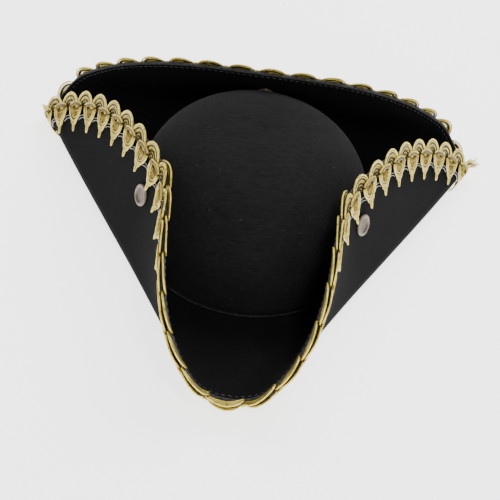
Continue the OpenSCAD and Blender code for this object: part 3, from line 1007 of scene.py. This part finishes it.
def lay_baskets(strands, angles):
    """Baskets with their second tier, tail loop, top folds and ladder."""
    for half_width, depth, top in SHADOWS:
        lay(strands, angles, basket(half_width, depth, top), 1.4, 0.85, 0.0)
    for half_width, depth, top, tone in (*BASKETS, *TIERS):
        lay(strands, angles, basket(half_width, depth, top), LAID_HIGH, CORD, tone)
    for level, half_width, tone in TOP_FOLDS:
        lay(strands, angles, top_fold(level, half_width), LAID_HIGH, THICK_CORD, tone)
    for across in np.linspace(-LADDER_HALF_WIDTH, LADDER_HALF_WIDTH, LADDER_THREADS):
        lay(strands, angles, ladder_thread(across), LAID_HIGH, FINE_THREAD, 0.66, 0.05)
    lay(strands, angles, cross_thread(-8.0, 5.0), 2.6, SILVER_THREAD, 0.6, 0.05)


arch_angles = {half: [] for half in HALVES.values()}
basket_angles = {half: [] for half in HALVES.values()}
for k in range(BRAID_REPEATS):
    arch_angle = k * REPEAT - FIRST_REPEAT
    arch_angles[HALVES[half_at(arch_angle)]].append(arch_angle)
    basket_angle = (k + 0.5) * REPEAT - FIRST_REPEAT
    basket_angles[HALVES[half_at(basket_angle)]].append(basket_angle)

NEAR_CORNER = {"left_front": "braid_front", "right_front": "braid_front", "left_back": "braid_left_corner",
               "back_left": "braid_left_corner", "right_back": "braid_right_corner",
               "back_right": "braid_right_corner"}
for (flap, end), half in HALVES.items():
    strands = Strands(6)
    lay_arches(strands, np.array(arch_angles[half]))
    near_front = [angle for angle in arch_angles[half] if turned_from_front(angle) < LEAVES_UP_TO]
    lay_leaves(strands, np.array(near_front))
    lay_baskets(strands, np.array(basket_angles[half]))
    piece = strands.build("braid_gold_" + half, gold)
    bend_with_flap(piece)
    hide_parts("braid_" + flap, NEAR_CORNER[half])
print("motifs laid", sum(len(a) for a in arch_angles.values()))

# %% [markdown]
# ## Silver threads and edge stitches
#
# Two silver threads hang in bows between neighbouring baskets. Grey stitches run along the felt's inner
# face, just inside its edge, where the braid is sewn on. Both are strands, like the braid, one piece for
# each half flap.

# %% Silver threads and edge stitches
STITCH_SPACING = 4.6
STITCH_INSET = 3.4
SWAGS = ((-11.6, -1.6), (-13.4, -2.2))


def swag(level, sag):
    """A bow from one basket to the next, centred between them."""
    share = np.linspace(-1, 1, 13)
    half_pitch = np.radians(REPEAT) * BRIM_RADIUS / 2
    return share * (half_pitch - 5.6), level + sag * share ** 2


def edge_stitches(angles):
    """Short stitches on the felt's inner face."""
    share = np.linspace(-0.5, 0.5, 6)
    turned = np.asarray(angles)[:, None] + np.degrees(share * 2.7 / BRIM_RADIUS)
    slant = share * 0.7 + random.normal(0, 0.15, (len(angles), 1))
    flat = disc_point(turned, slant - STITCH_INSET)
    up = felt_normal(flat)
    return felt_middle(flat) + up * (FELT / 2 + 0.32 * np.cos(share * np.pi))[:, None], up


stitch_count = int(2 * np.pi * BRIM_RADIUS / STITCH_SPACING)
stitch_angles = {half: [] for half in HALVES.values()}
for angle in np.linspace(0, 360, stitch_count, endpoint=False):
    stitch_angles[HALVES[half_at(angle)]].append(angle)

for (flap, end), half in HALVES.items():
    threads = Strands(5)
    for level, sag in SWAGS:
        lay(threads, np.array(arch_angles[half]), swag(level, sag), LAID_LOW, SILVER_THREAD, 0.6)
    piece = threads.build("silver_threads_" + half, silver)
    bend_with_flap(piece)
    stitches = Strands(5)
    stitches.add(*edge_stitches(stitch_angles[half]), 0.21, 0.22)
    piece = stitches.build("edge_stitches_" + half, grey_thread)
    bend_with_flap(piece)
print("edge stitches", stitch_count)

# %% [markdown]
# ## Frayed end
#
# The braid's two ends meet at one back corner, where a tuft of loose gold threads fans out. Particle hair
# could make it, but a few dozen drooping strands with random directions are enough, and they are plain
# meshes.

# %% Frayed end
TUFT_ANGLE = 116.5
TUFT_THREADS = 46


def frayed_tuft():
    """Fine threads that leave the braid's end and spread as they go."""
    share = np.linspace(0, 1, 10)
    angle = TUFT_ANGLE + random.normal(0, 1.0, TUFT_THREADS)
    start, up = on_outer_face(angle, np.full(TUFT_THREADS, 1.0), random.uniform(0.4, 1.8, TUFT_THREADS))
    outward = unit(start - on_outer_face(angle, np.full(TUFT_THREADS, -8.0), np.full(TUFT_THREADS, 1.0))[0])
    side = np.cross(outward, up)
    fan = random.normal(0, 0.45, (TUFT_THREADS, 1))
    lift = random.normal(0.05, 0.25, (TUFT_THREADS, 1))
    ahead = unit(outward + fan * side + lift * up)
    length = random.uniform(5, 12, (TUFT_THREADS, 1, 1))
    droop = random.normal(0, 0.22, (TUFT_THREADS, 1, 1)) * side[:, None] - [0, 0, 0.18]
    paths = start[:, None] + length * (share[:, None] * ahead[:, None] + share[:, None] ** 2 * droop)
    return paths, np.repeat(up[:, None], len(share), 1)


tuft = Strands(5)
tuft.add(*frayed_tuft(), 0.17, 0.85)
tuft_piece = tuft.build("frayed_tuft", gold)
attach(tuft_piece, "root")
print("tuft threads", TUFT_THREADS)

# %% [markdown]
# ## Snap fasteners
#
# The cap on each flap is turned metal with a raised round rim and a dished face, so its outline is spun
# round its axis. The hidden socket, stud and post keep their CAD shape and only get the metal's material.

# %% Snap fasteners
CAP_RADIUS = 8.0
CAP_LIFT = 0.5
RIM_WIDTH = 1.5
RIM_MIDDLE = 0.95
RIM_HALF_HEIGHT = 1.05
DISH_RADIUS = 5.6
# Radius and height from the rim's crest down into the dish.
DISH = ((6.2, 1.93), (5.9, 1.75), (5.4, 1.25), (4.9, 0.98), (3.6, 0.86), (2.2, 0.80), (1.2, 0.77),
        (0.3, 0.76), (0, 0.76))


def cap_profile():
    """Radius and height of a cap, from its back to the middle of its face."""
    turns = np.linspace(0.1, np.pi, 14)
    rim_radius = CAP_RADIUS - RIM_WIDTH + RIM_WIDTH * np.sin(turns)
    rim_height = RIM_MIDDLE - RIM_HALF_HEIGHT * np.cos(turns)
    return [(0, 0), (CAP_RADIUS - 1.7, -0.1), *zip(rim_radius, rim_height), *DISH]


def snap_place(flap):
    """Middle of a cap's seat on the flap's outer face, and the direction that the cap looks."""
    heading = FLAP_HEADING[flap]
    flat = heading_vector(heading) * (edge_reach(heading) - SNAP_INSET)
    up = -felt_normal(flat)
    return felt_middle(flat) + up * (FELT / 2 + CAP_LIFT), up


for flap in FLAP_HEADING:
    profile = cap_profile()
    # The dish's rows take the face's colour, which is painted darker than the rim as shade.
    rows = [0 if radius > DISH_RADIUS or i < 3 else 1 for i, (radius, _) in enumerate(profile)][:-1]
    cap = lathe(flap + "_snap_cap", profile, *snap_place(flap), [cap_rim, cap_dish_painted_shade], rows)
    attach(cap, flap + "_flap")
    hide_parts(flap + "_cap")
    for part in ("socket", "stud", "post"):
        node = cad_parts[f"{flap}_{part}"]
        node.data.materials.clear()
        node.data.materials.append(brass)
print("caps", len(FLAP_HEADING))

# %% [markdown]
# ## Floor and light
#
# The hat lies on a plain white floor in an even studio. A floor that glows a little stays white beside the
# black felt, and lights the undersides softly. A large lamp above and behind models the crown, a key lamp
# brightens the front, and a low front lamp reaches under the folds.

# %% Floor and light
FLOOR_SIZE = 30.0
FLOOR_GLOW = 2.6
FLOOR_GAP = 0.0005
SURROUNDING_GLOW = 0.3
# Name, place, aim, size and power of each lamp, in metres and watts.
LAMPS = (("overhead", (0.30, 1.15, 1.35), (0, 0, 0.05), 1.1, 32),
         ("key", (0.25, -0.8, 1.45), (0, -0.1, 0.02), 0.25, 9),
         ("front", (0.25, -1.7, 0.85), (0, 0, 0.05), 0.5, 7))


def area_light(name, position, target, size, power):
    """A square lamp that shines at its target."""
    data = bpy.data.lights.new(name, "AREA")
    data.size = size
    data.energy = power
    lamp = bpy.data.objects.new(name, data)
    lamp.location = position
    lamp.rotation_mode = "QUATERNION"
    lamp.rotation_quaternion = (Vector(target) - Vector(position)).to_track_quat("-Z", "Y")
    bpy.context.scene.collection.objects.link(lamp)


floor_look = Look("floor")
floor_paint = floor_look.finish(Base_Color=grey(0.9), Roughness=0.9, Specular_IOR_Level=0.1,
                                Emission_Color=grey(1.0), Emission_Strength=FLOOR_GLOW)
bpy.ops.mesh.primitive_plane_add(size=FLOOR_SIZE, location=(0, 0, size_at_start[0].z - FLOOR_GAP))
floor = bpy.context.object
floor.name = "floor"
floor.data.materials.append(floor_paint)

world = bpy.data.worlds.new("surroundings")
world.use_nodes = True
world.node_tree.nodes["Background"].inputs["Color"].default_value = (1, 1, 1, 1)
world.node_tree.nodes["Background"].inputs["Strength"].default_value = SURROUNDING_GLOW
bpy.context.scene.world = world

for lamp in LAMPS:
    area_light(*lamp)
print("lights", len(LAMPS))

# %% [markdown]
# ## Soft pieces and the finish
# Felt, lining and sweatband are cloth. The brim's cut sizes, for each flap and the still felt beside it,
# are worked out from the flat disc. The crown and the lining are cut as discs. Then the size is compared
# with the frame's.


def cut_size(flap, heading, inner, outer):
    """Width, length and area in metres of the flat felt between two distances, over a fan of headings."""
    corners = np.concatenate([heading_vector(heading) * reach[:, None] for reach in (inner, outer)])
    along = np.ptp(corners @ along_vector(flap)) * MM
    out = np.ptp(corners @ heading_vector(FLAP_HEADING[flap])) * MM
    wedges = (outer ** 2 - inner ** 2) / 2 * np.radians(abs(heading[1] - heading[0]))
    area = (wedges.sum() - (wedges[0] + wedges[-1]) / 2) * MM ** 2
    return (round(float(along), 4), round(float(out), 4)), round(float(area), 5)


def declare_felt(flap):
    """The felt of one flap, and the still felt beside it."""
    turned = np.linspace(-60, 60, 2 * HALF_COLUMNS - 1)
    heading = FLAP_HEADING[flap] + turned
    flat, area = cut_size(flap, heading, opening_reach(heading), inner_reach(flap, turned))
    for end in (-1, 1):
        heading = half_headings(flap, end)
        inner = inner_reach(flap, heading - FLAP_HEADING[flap])
        flat, area = cut_size(flap, heading, inner, edge_reach(heading))


for flap in FLAP_HEADING:
    declare_felt(flap)
